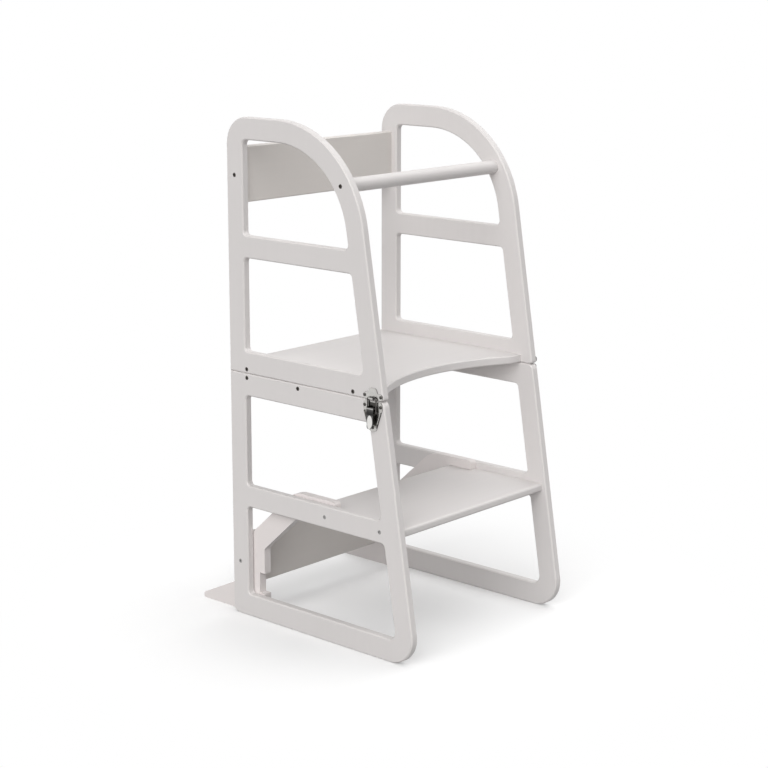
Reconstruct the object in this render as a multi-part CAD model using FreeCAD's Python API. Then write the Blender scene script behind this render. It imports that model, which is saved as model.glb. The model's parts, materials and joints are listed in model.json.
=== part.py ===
import FreeCAD, Part
import math
import os

from FreeCAD import Vector

# A toddler's kitchen helper tower of painted plywood, in two units. The lower unit stands on
# the floor and holds the step. The upper unit stands on it, holds the child's platform, and
# folds over backwards on two rear hinges, so that the underside of the platform becomes a
# low table top. A toggle latch on each side holds the units together while the child stands.
#
# Millimetres. +X is the right side, +Y is the rear, +Z is up, and the origin is on the floor
# under the middle of the whole object. Outlines are drawn as (forward, height), where forward
# is the distance in front of the rear edges of the side panels.

# Boards and the frame
BOARD = 15.0
MEMBER = 39.0
CLEAR_WIDTH = 384.0
TOTAL_HEIGHT = 900.0
LOWER_HEIGHT = 450.5
UNIT_GAP = 0.5
SOFT_EDGE = 2.0

# The most of a run that its two arcs may take, and how near two places count as one
ARC_SHARE = 0.98
SAME_PLACE = 1e-4

# Side panels
FRONT_FOOT_FORWARD = 441.5
FRONT_LEAN = 9.31
ARCH_RADIUS = 200.0
REAR_TOP_RADIUS = 48.0
FRONT_FOOT_RADIUS = 50.0
REAR_FOOT_RADIUS = 12.0
LOWER_NOSE_RADIUS = 12.0
UPPER_NOSE_RADIUS = 5.0
WINDOW_RADIUS = 8.0
FOOT_WINDOW_RADIUS = 14.0
FOOT_RAIL = 41.0
TABLE_RAIL = 40.0
LOWER_WINDOW_HEIGHT = 165.0
UPPER_WINDOW_HEIGHT = 166.5

# Boards between the side panels
BACK_BOARD_HEIGHT = 98.0
BACK_BOARD_INSET = 12.0
BACKREST_DROP = 52.0
CROSS_BOARD_LIFT = 51.0
PLATFORM_END_DEPTH = 341.5
PLATFORM_MIDDLE_DEPTH = 293.0
PLATFORM_END_RADIUS = 80.0
TABLE_DEPTH = 212.0
STEP_REAR = 188.0
STEP_DEPTH = 208.0
STEP_NOSE_RADIUS = 5.0
RAIL_DIAMETER = 24.0
RAIL_INSET = 22.0
RAIL_ANGLE = 34.0

# Stabiliser feet
FOOT_REACH = 97.0
FOOT_HEIGHT = 50.0
FOOT_SLOPE_START = 12.4
FOOT_TIP_HEIGHT = 9.5
FOOT_TIP_RADIUS = 4.0
FOOT_SIDE_GAP = 0.5
TOE_HEIGHT = 43.0
TOE_NOTCH_DEPTH = 13.0
TOE_NOTCH_HEIGHT = 38.5
KNEE_HEIGHT = 128.6
ARM_SLOPE = 42.0
ARM_SHOULDER_RADIUS = 50.0
ARM_CORNER_RADIUS = 6.0
JAW_REACH = 53.0
JAW_HEIGHT = 16.7
JAW_GAP = 0.3

# Panel screws: countersunk, driven through a panel into a board's end. Screws, pins and the
# bores that take them have a few flat sides.
SCREW_SIDES = 6
PIN_SIDES = 8
BARREL_SIDES = 12
PANEL_SCREW_RADIUS = 2.5
PANEL_SCREW_HEAD_RADIUS = 3.7
PANEL_SCREW_HEAD_DEPTH = 2.4
PANEL_SCREW_LENGTH = 50.0
FOOT_SCREW_LENGTH = 40.0
SCREW_CLEARANCE = 0.05
HOLE_EXTRA_DEPTH = 0.5
SCREW_INSET = 43.0
STEP_FRONT_SCREW_INSET = 37.3
FOOT_SCREW_RISE = 24.0
FOOT_SCREW_SPACING = 50.0

# Rear hinges: narrow butt hinges on the rear edges of the platform and the table board
HINGE_SIDE_GAP = 57.0
HINGE_LENGTH = 50.0
HINGE_MIDDLE_KNUCKLE = 16.6
HINGE_LEAF_HEIGHT = 13.5
HINGE_LEAF_THICKNESS = 1.5
HINGE_KNUCKLE_RADIUS = 2.9
HINGE_PIN_RADIUS = 1.5
HINGE_PIN_CLEARANCE = 0.05
HINGE_RUNNING_GAP = 0.3
HINGE_SCREW_RADIUS = 1.5
HINGE_SCREW_HEAD_RADIUS = 2.8
HINGE_SCREW_HEAD_DEPTH = 1.4
HINGE_SCREW_LENGTH = 18.0
HINGE_SCREW_SPACING = 30.0

# Toggle latches. Latch outlines are drawn from the joint between the units: outward from the
# face of the side panel, along towards the rear, and up.
LATCH_FORWARD = 344.5
LATCH_PLATE = 1.2
LATCH_BASE_WIDTH = 42.0
LATCH_BASE_TOP = -1.5
LATCH_BASE_SHOULDER = -14.0
LATCH_BASE_BOTTOM = -53.0
LATCH_BASE_TIP_WIDTH = 15.0
LATCH_BASE_TIP_RADIUS = 7.0
LATCH_PLATE_RADIUS = 5.0
LATCH_RIM_HEIGHT = 3.2
LEVER_PIVOT_OUT = 5.0
LEVER_PIVOT_UP = -12.5
LEVER_PIN_RADIUS = 1.4
EAR_RADIUS = 2.6
EAR_HALF_SPACING = 5.0
BAIL_PIVOT_OUT = 3.8
BAIL_PIVOT_UP = -19.5
BAIL_PIN_RADIUS = 1.2
PIN_CLEARANCE = 0.05
LEVER_SIDE_GAP = 0.3
LEVER_SHEET = 1.0
LEVER_WEB_OUT = 7.8
LEVER_WEB_RISE = 0.8
LEVER_FLANGE_RISE = 2.9
LEVER_FLANGE_DROP = 11.5
LEVER_FLANGE_GAP = 0.4
LEVER_LENGTH = 35.0
LEVER_CURL_LENGTH = 9.0
LEVER_CURL_OUT = 1.8
LEVER_TIP_WIDTH = 11.0
LEVER_TIP_RADIUS = 5.0
LEVER_FLANGE_RADIUS = 2.8
RIVET_HEAD = 0.2
BAIL_WIRE_RADIUS = 1.25
BAIL_SIDE_GAP = 0.5
BAIL_EYE_RADIUS = 2.3
BAIL_BEND_RADIUS = 3.0
BAIL_BEND_STEPS = 2
BAIL_PIN_END = 0.3
BAIL_BAR_OUT = 3.1
BAIL_BAR_UP = 4.75
HOOK_SHEET = 1.0
HOOK_HALF_WIDTH = 5.0
HOOK_SEAT_GAP = 0.3
HOOK_MOUTH = 4.9
HOOK_LIP_HEIGHT = 2.5
HOOK_BEND_RADIUS = 1.1
CATCH_BOTTOM = 1.5
CATCH_EAR_WIDTH = 43.0
CATCH_EAR_TOP = 12.5
CATCH_HUMP_WIDTH = 15.0
CATCH_HUMP_TOP = 21.0
CATCH_HUMP_RADIUS = 6.0
CATCH_HUMP_FOOT = 3.5
LATCH_SCREW_RADIUS = 1.5
LATCH_SCREW_HEAD_RADIUS = 2.9
LATCH_SCREW_CROWN_RADIUS = 1.9
LATCH_SCREW_HEAD_HEIGHT = 1.6
LATCH_SCREW_LENGTH = 12.0
LATCH_SCREW_SPACING = 36.0
BASE_SCREW_UP = -9.5
BASE_TIP_SCREW_UP = -46.0
CATCH_SCREW_UP = 7.5

# Worked out from the sizes above
HALF_CLEAR = CLEAR_WIDTH / 2
HALF_WIDTH = HALF_CLEAR + BOARD
HINGE_OFFSET = HALF_CLEAR - HINGE_SIDE_GAP - HINGE_LENGTH / 2
UPPER_BOTTOM = LOWER_HEIGHT + UNIT_GAP
LEAN = math.radians(FRONT_LEAN)
STEP_BOTTOM = FOOT_RAIL + LOWER_WINDOW_HEIGHT + (MEMBER - BOARD) / 2
STEP_TOP = STEP_BOTTOM + BOARD
BACK_BOARD_FRONT = BACK_BOARD_INSET + BOARD
FRONT_REACH = (
    FRONT_FOOT_FORWARD
    - FRONT_FOOT_RADIUS * math.tan(LEAN)
    - FRONT_FOOT_RADIUS / math.cos(LEAN)
    + FRONT_FOOT_RADIUS
)
REAR_Y = (FRONT_REACH - FOOT_REACH) / 2
JOINT_HEIGHT = LOWER_HEIGHT + UNIT_GAP / 2
HINGE_AXIS_BEHIND = HINGE_KNUCKLE_RADIUS + HINGE_RUNNING_GAP


def front_edge(height, inset=0.0):
    """Forward distance of the sloped front edge, or of a line inset from it, at a height."""
    return FRONT_FOOT_FORWARD - inset / math.cos(LEAN) - height * math.tan(LEAN)


def in_side_view(x):
    """Places (forward, height) on the upright plane at x."""
    return lambda forward, height: Vector(x, REAR_Y - forward, height)


def in_plan(z):
    """Places (across, forward) on the level plane at z."""
    return lambda across, forward: Vector(across, REAR_Y - forward, z)


def on_latch_face(outward):
    """Places (along, up) on a plane parallel to the left panel's outer face."""
    return lambda along, up: Vector(
        -HALF_WIDTH - outward, REAR_Y - LATCH_FORWARD + along, JOINT_HEIGHT + up
    )


def in_latch_profile(along):
    """Places (outward, up) on the upright plane that cuts the left latch across."""
    return lambda outward, up: on_latch_face(outward)(along, up)


def rounded_corner(before, corner, after, radius):
    """Start, middle and end of the tangent arc that rounds a corner."""
    if radius == 0:
        return corner, corner, corner
    to_before = (before - corner).normalize()
    to_after = (after - corner).normalize()
    half_angle = to_before.getAngle(to_after) / 2
    setback = radius / math.tan(half_angle)
    inward = (to_before + to_after).normalize()
    middle = corner + inward * (radius / math.sin(half_angle) - radius)
    return corner + to_before * setback, middle, corner + to_after * setback


def fitted_radii(points, radii):
    """Corner radii, drawn in where two neighbouring arcs would be too long for the run between."""
    setbacks = []
    for index, radius in enumerate(radii):
        to_before = points[index - 1] - points[index]
        to_after = points[(index + 1) % len(points)] - points[index]
        setbacks.append(radius / math.tan(to_before.getAngle(to_after) / 2))
    shares = []
    for index, setback in enumerate(setbacks):
        after = (index + 1) % len(points)
        room = ARC_SHARE * (points[after] - points[index]).Length
        needed = setback + setbacks[after]
        shares.append(room / needed if needed > room else 1.0)
    return [radius * min(shares[index - 1], shares[index]) for index, radius in enumerate(radii)]


def outline(corners, place):
    """Face inside straight runs joined by tangent arcs; a corner is (a, b, radius)."""
    points = [place(a, b) for a, b, radius in corners]
    radii = fitted_radii(points, [radius for a, b, radius in corners])
    arcs = []
    for index, radius in enumerate(radii):
        after = points[(index + 1) % len(points)]
        arcs.append(rounded_corner(points[index - 1], points[index], after, radius))
    edges = []
    for index, (start, middle, end) in enumerate(arcs):
        if start != end:
            edges.append(Part.Arc(start, middle, end).toShape())
        edges.append(Part.makeLine(end, arcs[(index + 1) % len(arcs)][0]))
    return Part.Face(Part.Wire(edges))


def edges_on(solid, measure, values):
    """Edges that lie wholly on one of the planes where measure has one of the values."""
    found = []
    for edge in solid.Edges:
        for value in values:
            if all(abs(measure(vertex.Point) - value) < SAME_PLACE for vertex in edge.Vertexes):
                found.append(edge)
    return found


def soften(solid, edges):
    """Breaks sawn edges with a narrow bevel."""
    return solid.makeChamfer(SOFT_EDGE, edges)


def mirrored(solid):
    """The same piece on the other side of the object."""
    return solid.mirror(Vector(0, 0, 0), Vector(1, 0, 0))


def both_sides(solids):
    """The solids and their mirror images."""
    return list(solids) + [mirrored(solid) for solid in solids]


def across(solid_at_origin, point, direction):
    """Turns a solid drawn along +X to a direction in plan and moves it to a point."""
    solid = solid_at_origin.copy()
    solid.rotate(Vector(0, 0, 0), Vector(0, 0, 1), direction)
    solid.translate(point)
    return solid


def polygon(points):
    """Flat face with straight edges."""
    return Part.Face(Part.makePolygon(points + points[:1]))


def ring(along, radius, sides):
    """Corners of a regular polygon about the X axis."""
    turns = [2 * math.pi * (step + 0.5) / sides for step in range(sides)]
    return [Vector(along, radius * math.cos(turn), radius * math.sin(turn)) for turn in turns]


def skinned(rings):
    """Solid with flat faces through rings of corners that match one to one."""
    faces = [polygon(rings[0][::-1]), polygon(rings[-1])]
    for near, far in zip(rings, rings[1:]):
        for step in range(len(near)):
            faces.append(polygon([near[step - 1], near[step], far[step], far[step - 1]]))
    return Part.Solid(Part.Shell(faces))


def faceted(profile, sides):
    """Solid along the X axis with flat sides, through (along, radius) sections."""
    return skinned([ring(along, radius, sides) for along, radius in profile])


def bent_wire(path, square, radius, sides):
    """Wire with flat sides along a flat path, mitred at its bends; square is at right angles to it."""
    runs = [(after - before).normalize() for before, after in zip(path, path[1:])]
    rings = []
    for point, before, after in zip(path, runs[:1] + runs, runs + runs[-1:]):
        forward = (before + after).normalize()
        beside = square.cross(forward) / forward.dot(before)
        corners = ring(0, radius, sides)
        rings.append([point + beside * corner.y + square * corner.z for corner in corners])
    return skinned(rings)


def rod(length, radius, sides):
    """A straight length along +X with flat sides and its corners at the radius."""
    return faceted([(0, radius), (length, radius)], sides)


def bore(length, radius, sides):
    """A hole along +X with flat sides that touch the radius."""
    return rod(length, radius / math.cos(math.pi / sides), sides)


# ---- Screws and the holes that take them ----


def countersunk(head_radius, head_depth, shank_radius, length, clearance=0.0):
    """A countersunk screw along +X with its head's face at the origin, or its hole."""
    end = length + (HOLE_EXTRA_DEPTH if clearance else 0.0)
    profile = [(0, head_radius), (head_depth, shank_radius), (end, shank_radius)]
    return faceted([(along, radius + clearance) for along, radius in profile], SCREW_SIDES)


def panel_screw(length, clearance=0.0):
    """The screw that joins boards, or its hole."""
    return countersunk(
        PANEL_SCREW_HEAD_RADIUS, PANEL_SCREW_HEAD_DEPTH, PANEL_SCREW_RADIUS, length, clearance
    )


def hinge_screw(clearance=0.0):
    """The small countersunk screw of a hinge leaf, or its hole."""
    return countersunk(
        HINGE_SCREW_HEAD_RADIUS,
        HINGE_SCREW_HEAD_DEPTH,
        HINGE_SCREW_RADIUS,
        HINGE_SCREW_LENGTH,
        clearance,
    )


def latch_screw(clearance=0.0):
    """The raised screw of a latch plate, with the underside of its head at the origin."""
    if clearance:
        return rod(LATCH_SCREW_LENGTH + HOLE_EXTRA_DEPTH, LATCH_SCREW_RADIUS + clearance, SCREW_SIDES)
    profile = [
        (-LATCH_SCREW_HEAD_HEIGHT, LATCH_SCREW_CROWN_RADIUS),
        (0, LATCH_SCREW_HEAD_RADIUS),
        (0, LATCH_SCREW_RADIUS),
        (LATCH_SCREW_LENGTH, LATCH_SCREW_RADIUS),
    ]
    return faceted(profile, SCREW_SIDES)


def side_screws(points, clearance=0.0):
    """Panel screws at (forward, height) through the left panel, and the same on the right."""
    screw = panel_screw(PANEL_SCREW_LENGTH, clearance)
    return both_sides([across(screw, in_side_view(-HALF_WIDTH)(*point), 0) for point in points])


def drilled(solid, holes):
    """The solid with the screw holes cut."""
    return solid.cut(Part.makeCompound(holes))


# ---- Where the boards lie and where the panel screws go ----

BACKREST_BOTTOM = TOTAL_HEIGHT - BACKREST_DROP - BACK_BOARD_HEIGHT
BACK_BOARD_MIDDLE = BACK_BOARD_INSET + BOARD / 2
PLATFORM_MIDDLE = UPPER_BOTTOM + BOARD / 2
TABLE_BOTTOM = LOWER_HEIGHT - BOARD
TABLE_MIDDLE = LOWER_HEIGHT - BOARD / 2
STEP_FRONT = STEP_REAR + STEP_DEPTH
STEP_MIDDLE = STEP_BOTTOM + BOARD / 2
ARCH_TURN = math.radians(90 - FRONT_LEAN)
ARCH_CENTRE = (
    front_edge(TOTAL_HEIGHT) - ARCH_RADIUS * math.tan(ARCH_TURN / 2),
    TOTAL_HEIGHT - ARCH_RADIUS,
)
RAIL_CENTRE = (
    ARCH_CENTRE[0] + (ARCH_RADIUS - RAIL_INSET) * math.cos(math.radians(RAIL_ANGLE)),
    ARCH_CENTRE[1] + (ARCH_RADIUS - RAIL_INSET) * math.sin(math.radians(RAIL_ANGLE)),
)

UPPER_SCREW_POINTS = [
    (BACK_BOARD_MIDDLE, BACKREST_BOTTOM + BACK_BOARD_HEIGHT / 2),
    RAIL_CENTRE,
    (SCREW_INSET, PLATFORM_MIDDLE),
    (PLATFORM_END_DEPTH - SCREW_INSET, PLATFORM_MIDDLE),
]
LOWER_SCREW_POINTS = [
    (SCREW_INSET, TABLE_MIDDLE),
    (TABLE_DEPTH - SCREW_INSET, TABLE_MIDDLE),
    (STEP_REAR + SCREW_INSET, STEP_MIDDLE),
    (STEP_FRONT - STEP_FRONT_SCREW_INSET, STEP_MIDDLE),
    (BACK_BOARD_MIDDLE, CROSS_BOARD_LIFT + BACK_BOARD_HEIGHT / 2),
]
UPPER_HOLES = side_screws(UPPER_SCREW_POINTS, SCREW_CLEARANCE)
LOWER_HOLES = side_screws(LOWER_SCREW_POINTS, SCREW_CLEARANCE)


def foot_screws(clearance=0.0):
    """Screws through the rear of the cross board into the posts of the stabiliser feet."""
    screw = panel_screw(FOOT_SCREW_LENGTH, clearance)
    x = -HALF_CLEAR + FOOT_SIDE_GAP + BOARD / 2
    lowest = CROSS_BOARD_LIFT + FOOT_SCREW_RISE
    heights = [lowest, lowest + FOOT_SCREW_SPACING]
    place = in_side_view(x)
    return both_sides([across(screw, place(BACK_BOARD_INSET, height), -90) for height in heights])


def hinge_screws(height, clearance=0.0):
    """Screws through a hinge leaf into a board's rear edge, two in each leaf."""
    screw = hinge_screw(clearance)
    solids = []
    for side in (-1, 1):
        x = -HINGE_OFFSET + side * HINGE_SCREW_SPACING / 2
        solids.append(across(screw, Vector(x, REAR_Y + HINGE_LEAF_THICKNESS, height), -90))
    return both_sides(solids)


def latch_screws(points, clearance=0.0):
    """Screws at (along, up) through a latch plate into the panel."""
    screw = latch_screw(clearance)
    place = on_latch_face(LATCH_PLATE)
    return both_sides([across(screw, place(*point), 0) for point in points])


CATCH_SCREW_POINTS = [
    (-LATCH_SCREW_SPACING / 2, CATCH_SCREW_UP),
    (LATCH_SCREW_SPACING / 2, CATCH_SCREW_UP),
]
BASE_SCREW_POINTS = [
    (-LATCH_SCREW_SPACING / 2, BASE_SCREW_UP),
    (LATCH_SCREW_SPACING / 2, BASE_SCREW_UP),
    (0, BASE_TIP_SCREW_UP),
]
CATCH_HOLES = latch_screws(CATCH_SCREW_POINTS, SCREW_CLEARANCE)
BASE_HOLES = latch_screws(BASE_SCREW_POINTS, SCREW_CLEARANCE)
FOOT_HOLES = foot_screws(SCREW_CLEARANCE)
PLATFORM_HINGE_HOLES = hinge_screws(PLATFORM_MIDDLE, SCREW_CLEARANCE)
TABLE_HINGE_HOLES = hinge_screws(TABLE_MIDDLE, SCREW_CLEARANCE)


# ---- Side panels: routed from plywood, with two windows each ----


def left_panel(outer, windows, holes):
    """A left panel: its outline less its windows, with soft edges and its screw holes."""
    place = in_side_view(-HALF_WIDTH)
    thickness = Vector(BOARD, 0, 0)
    solid = outline(outer, place).extrude(thickness)
    for window in windows:
        solid = solid.cut(outline(window, place).extrude(thickness))
    solid = soften(solid, edges_on(solid, lambda point: point.x, (-HALF_WIDTH, -HALF_CLEAR)))
    return drilled(solid, holes)


def window_between(bottom, top, bottom_front_radius, top_front_radius, top_rear_radius):
    """A window one member in from the rear and front edges, between two rails."""
    return [
        (MEMBER, bottom, WINDOW_RADIUS),
        (front_edge(bottom, MEMBER), bottom, bottom_front_radius),
        (front_edge(top, MEMBER), top, top_front_radius),
        (MEMBER, top, top_rear_radius),
    ]


def upper_left_panel():
    """The upper panel, arched at the top, with the rail's and the platform's screws."""
    outer = [
        (0, UPPER_BOTTOM, 0),
        (front_edge(UPPER_BOTTOM), UPPER_BOTTOM, UPPER_NOSE_RADIUS),
        (front_edge(TOTAL_HEIGHT), TOTAL_HEIGHT, ARCH_RADIUS),
        (0, TOTAL_HEIGHT, REAR_TOP_RADIUS),
    ]
    low = UPPER_BOTTOM + MEMBER
    middle = low + UPPER_WINDOW_HEIGHT
    windows = [
        window_between(low, middle, WINDOW_RADIUS, WINDOW_RADIUS, WINDOW_RADIUS),
        window_between(
            middle + MEMBER,
            TOTAL_HEIGHT - MEMBER,
            WINDOW_RADIUS,
            ARCH_RADIUS - MEMBER,
            REAR_TOP_RADIUS - MEMBER,
        ),
    ]
    return left_panel(outer, windows, UPPER_HOLES + CATCH_HOLES)


def lower_left_panel():
    """The lower panel, which stands on the floor."""
    outer = [
        (0, 0, REAR_FOOT_RADIUS),
        (front_edge(0), 0, FRONT_FOOT_RADIUS),
        (front_edge(LOWER_HEIGHT), LOWER_HEIGHT, LOWER_NOSE_RADIUS),
        (0, LOWER_HEIGHT, 0),
    ]
    middle = FOOT_RAIL + LOWER_WINDOW_HEIGHT
    windows = [
        window_between(FOOT_RAIL, middle, FOOT_WINDOW_RADIUS, WINDOW_RADIUS, WINDOW_RADIUS),
        window_between(
            middle + MEMBER, LOWER_HEIGHT - TABLE_RAIL, WINDOW_RADIUS, WINDOW_RADIUS, WINDOW_RADIUS
        ),
    ]
    return left_panel(outer, windows, LOWER_HOLES + BASE_HOLES)


# ---- Boards and the rail between the side panels ----


def long_edges(solid, *forwards):
    """Edges that run from panel to panel at the forward distances."""
    found = edges_on(solid, lambda point: REAR_Y - point.y, forwards)
    return [edge for edge in found if abs(edge.Length - CLEAR_WIDTH) < SAME_PLACE]


def board(rear, depth, bottom, height, front_radius):
    """A board from panel to panel, its long front edges rounded."""
    profile = [
        (rear, bottom, 0),
        (rear + depth, bottom, front_radius),
        (rear + depth, bottom + height, front_radius),
        (rear, bottom + height, 0),
    ]
    return outline(profile, in_side_view(-HALF_CLEAR)).extrude(Vector(CLEAR_WIDTH, 0, 0))


def upright_board(bottom):
    """A board on edge between the rear legs, its long edges softened."""
    solid = board(BACK_BOARD_INSET, BOARD, bottom, BACK_BOARD_HEIGHT, 0)
    return soften(solid, long_edges(solid, BACK_BOARD_INSET, BACK_BOARD_FRONT))


def table_board():
    """The board flush with the top of the lower panels, softened in front."""
    solid = board(0, TABLE_DEPTH, TABLE_BOTTOM, BOARD, 0)
    return drilled(soften(solid, long_edges(solid, TABLE_DEPTH)), LOWER_HOLES + TABLE_HINGE_HOLES)


def step_board():
    """The step, with a rounded nose in front and softened behind."""
    solid = board(STEP_REAR, STEP_DEPTH, STEP_BOTTOM, BOARD, STEP_NOSE_RADIUS)
    return drilled(soften(solid, long_edges(solid, STEP_REAR)), LOWER_HOLES)


def platform_board():
    """The board that the child stands on, its front hollowed by three tangent arcs."""
    place = in_plan(UPPER_BOTTOM)
    end_centre_forward = PLATFORM_END_DEPTH - PLATFORM_END_RADIUS
    rise = PLATFORM_MIDDLE_DEPTH - end_centre_forward
    hollow_radius = (HALF_CLEAR**2 + rise**2 - PLATFORM_END_RADIUS**2) / (
        2 * (PLATFORM_END_RADIUS - rise)
    )
    hollow_centre_forward = PLATFORM_MIDDLE_DEPTH + hollow_radius
    swing = math.atan2(HALF_CLEAR, hollow_centre_forward - end_centre_forward)

    def on_end_arc(side, angle):
        return place(
            side * (HALF_CLEAR - PLATFORM_END_RADIUS * math.sin(angle)),
            end_centre_forward + PLATFORM_END_RADIUS * math.cos(angle),
        )

    corners = [on_end_arc(-1, 0), place(-HALF_CLEAR, 0), place(HALF_CLEAR, 0), on_end_arc(1, 0)]
    edges = [Part.makeLine(start, end) for start, end in zip(corners, corners[1:])]
    for side in (-1, 1):
        arc = Part.Arc(on_end_arc(side, 0), on_end_arc(side, swing / 2), on_end_arc(side, swing))
        edges.append(arc.toShape())
    hollow = Part.Arc(on_end_arc(-1, swing), place(0, PLATFORM_MIDDLE_DEPTH), on_end_arc(1, swing))
    edges.append(hollow.toShape())
    wire = Part.Wire(Part.__sortEdges__(edges))
    solid = Part.Face(wire).extrude(Vector(0, 0, BOARD))
    curved = []
    for edge in edges_on(solid, lambda point: point.z, (UPPER_BOTTOM, UPPER_BOTTOM + BOARD)):
        if edge.Curve.TypeId == "Part::GeomCircle":
            curved.append(edge)
    return drilled(soften(solid, curved), UPPER_HOLES + PLATFORM_HINGE_HOLES)


def front_rail():
    """The round bar between the arches that the child holds."""
    solid = Part.makeCylinder(
        RAIL_DIAMETER / 2, CLEAR_WIDTH, in_side_view(-HALF_CLEAR)(*RAIL_CENTRE), Vector(1, 0, 0)
    )
    return drilled(solid, UPPER_HOLES)


# ---- Stabiliser feet: they reach behind the tower and hook over the rear of the step ----


def left_stabiliser_foot():
    """A foot on the floor, a post against the cross board, and an arm with a jaw on the step."""
    post_rear = BACK_BOARD_FRONT
    post_front = post_rear + MEMBER
    arm = math.tan(math.radians(ARM_SLOPE))
    arm_rise = MEMBER / math.cos(math.radians(ARM_SLOPE))
    chin_rear = post_front + (STEP_BOTTOM - KNEE_HEIGHT) / arm
    jaw_front = STEP_REAR + JAW_REACH
    jaw_underside = STEP_TOP + JAW_GAP
    jaw_top = jaw_underside + JAW_HEIGHT
    chin_front = STEP_REAR - JAW_GAP
    shoulder = post_front + (jaw_top - KNEE_HEIGHT - arm_rise) / arm
    rear_knee_height = KNEE_HEIGHT + arm_rise - MEMBER * arm
    corners = [
        (post_front, 0, 0),
        (post_front, TOE_HEIGHT, 0),
        (post_front - TOE_NOTCH_DEPTH, TOE_HEIGHT, 0),
        (post_front - TOE_NOTCH_DEPTH, TOE_HEIGHT + TOE_NOTCH_HEIGHT, 0),
        (post_front, TOE_HEIGHT + TOE_NOTCH_HEIGHT, 0),
        (post_front, KNEE_HEIGHT, ARM_CORNER_RADIUS),
        (chin_rear, STEP_BOTTOM, ARM_CORNER_RADIUS),
        (chin_front, STEP_BOTTOM, 0),
        (chin_front, jaw_underside, 0),
        (jaw_front, jaw_underside, 0),
        (jaw_front, jaw_top, ARM_CORNER_RADIUS),
        (shoulder, jaw_top, ARM_SHOULDER_RADIUS),
        (post_rear, rear_knee_height, 0),
        (post_rear, FOOT_HEIGHT, 0),
        (-FOOT_SLOPE_START, FOOT_HEIGHT, ARM_CORNER_RADIUS),
        (-FOOT_REACH, FOOT_TIP_HEIGHT, FOOT_TIP_RADIUS),
        (-FOOT_REACH, 0, FOOT_TIP_RADIUS),
    ]
    outer_face = -HALF_CLEAR + FOOT_SIDE_GAP
    solid = outline(corners, in_side_view(outer_face)).extrude(Vector(BOARD, 0, 0))
    return drilled(solid, FOOT_HOLES)


# ---- Rear hinges ----


def hinge_place(start):
    """A point on the axis of the left hinge, at start from its middle."""
    return Vector(-HINGE_OFFSET + start, REAR_Y + HINGE_AXIS_BEHIND, JOINT_HEIGHT)


def hinge_bore():
    """The bore for the pin through every knuckle of the left hinge."""
    hole = bore(HINGE_LENGTH, HINGE_PIN_RADIUS + HINGE_PIN_CLEARANCE, PIN_SIDES)
    return across(hole, hinge_place(-HINGE_LENGTH / 2), 0)


def hinge_leaf(edge, far_edge, knuckles, notches):
    """A leaf from its edge at the joint to its far edge, notched for the other leaf's knuckles."""
    half = HINGE_LENGTH / 2
    leaf = Part.makeBox(HINGE_LENGTH, HINGE_LEAF_THICKNESS, abs(far_edge - edge))
    leaf.translate(Vector(-HINGE_OFFSET - half, REAR_Y, min(edge, far_edge)))
    notch_height = 2 * (HINGE_KNUCKLE_RADIUS + HINGE_RUNNING_GAP)
    for start, end in notches:
        notch = Part.makeBox(end - start, HINGE_LEAF_THICKNESS, notch_height)
        notch.translate(Vector(-HINGE_OFFSET + start, REAR_Y, JOINT_HEIGHT - notch_height / 2))
        leaf = leaf.cut(notch)
    for start, end in knuckles:
        knuckle = rod(end - start, HINGE_KNUCKLE_RADIUS, BARREL_SIDES)
        leaf = leaf.fuse(across(knuckle, hinge_place(start), 0))
    return leaf.cut(hinge_bore())


def hinge_pieces():
    """Upper leaf, lower leaf and pin of the left hinge. The upper leaf has the middle knuckle."""
    half = HINGE_LENGTH / 2
    middle = HINGE_MIDDLE_KNUCKLE / 2
    slot = middle + HINGE_RUNNING_GAP
    upper_leaf = hinge_leaf(
        UPPER_BOTTOM,
        UPPER_BOTTOM + HINGE_LEAF_HEIGHT,
        [(-middle, middle)],
        [(-half, -middle), (middle, half)],
    )
    lower_leaf = hinge_leaf(
        LOWER_HEIGHT,
        LOWER_HEIGHT - HINGE_LEAF_HEIGHT,
        [(-half, -slot), (slot, half)],
        [(-slot, slot)],
    )
    pin = across(rod(HINGE_LENGTH, HINGE_PIN_RADIUS, PIN_SIDES), hinge_place(-half), 0)
    return drilled(upper_leaf, PLATFORM_HINGE_HOLES), drilled(lower_leaf, TABLE_HINGE_HOLES), pin


# ---- Toggle latches ----


def along_latch(solid_at_origin, out, up, half_length):
    """Turns a length drawn along +X to lie along Y, centred on the left latch."""
    return across(solid_at_origin, in_latch_profile(-half_length)(out, up), 90)


def latch_pin(out, up, radius, half_length):
    """A pin through the left latch."""
    return along_latch(rod(2 * half_length, radius, PIN_SIDES), out, up, half_length)


def latch_bore(out, up, pin_radius, half_length):
    """The bore for a pin, with its running clearance."""
    hole = bore(2 * half_length, pin_radius + PIN_CLEARANCE, PIN_SIDES)
    return along_latch(hole, out, up, half_length)


def latch_cheeks(corners, inner, thickness):
    """Two upright plates with one profile, from inner to inner + thickness off the middle."""
    near = outline(corners, in_latch_profile(inner)).extrude(Vector(0, thickness, 0))
    far = outline(corners, in_latch_profile(-inner)).extrude(Vector(0, -thickness, 0))
    return near, far


FLANGE_INNER = EAR_HALF_SPACING + LATCH_PLATE + LEVER_SIDE_GAP
FLANGE_OUTER = FLANGE_INNER + LEVER_SHEET
BAIL_INNER = FLANGE_OUTER + BAIL_SIDE_GAP
BAIL_OUTER = BAIL_INNER + 2 * BAIL_WIRE_RADIUS
WEB_OUTER = LEVER_WEB_OUT + LEVER_SHEET
LEVER_TIP_UP = LEVER_PIVOT_UP - LEVER_LENGTH


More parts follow.
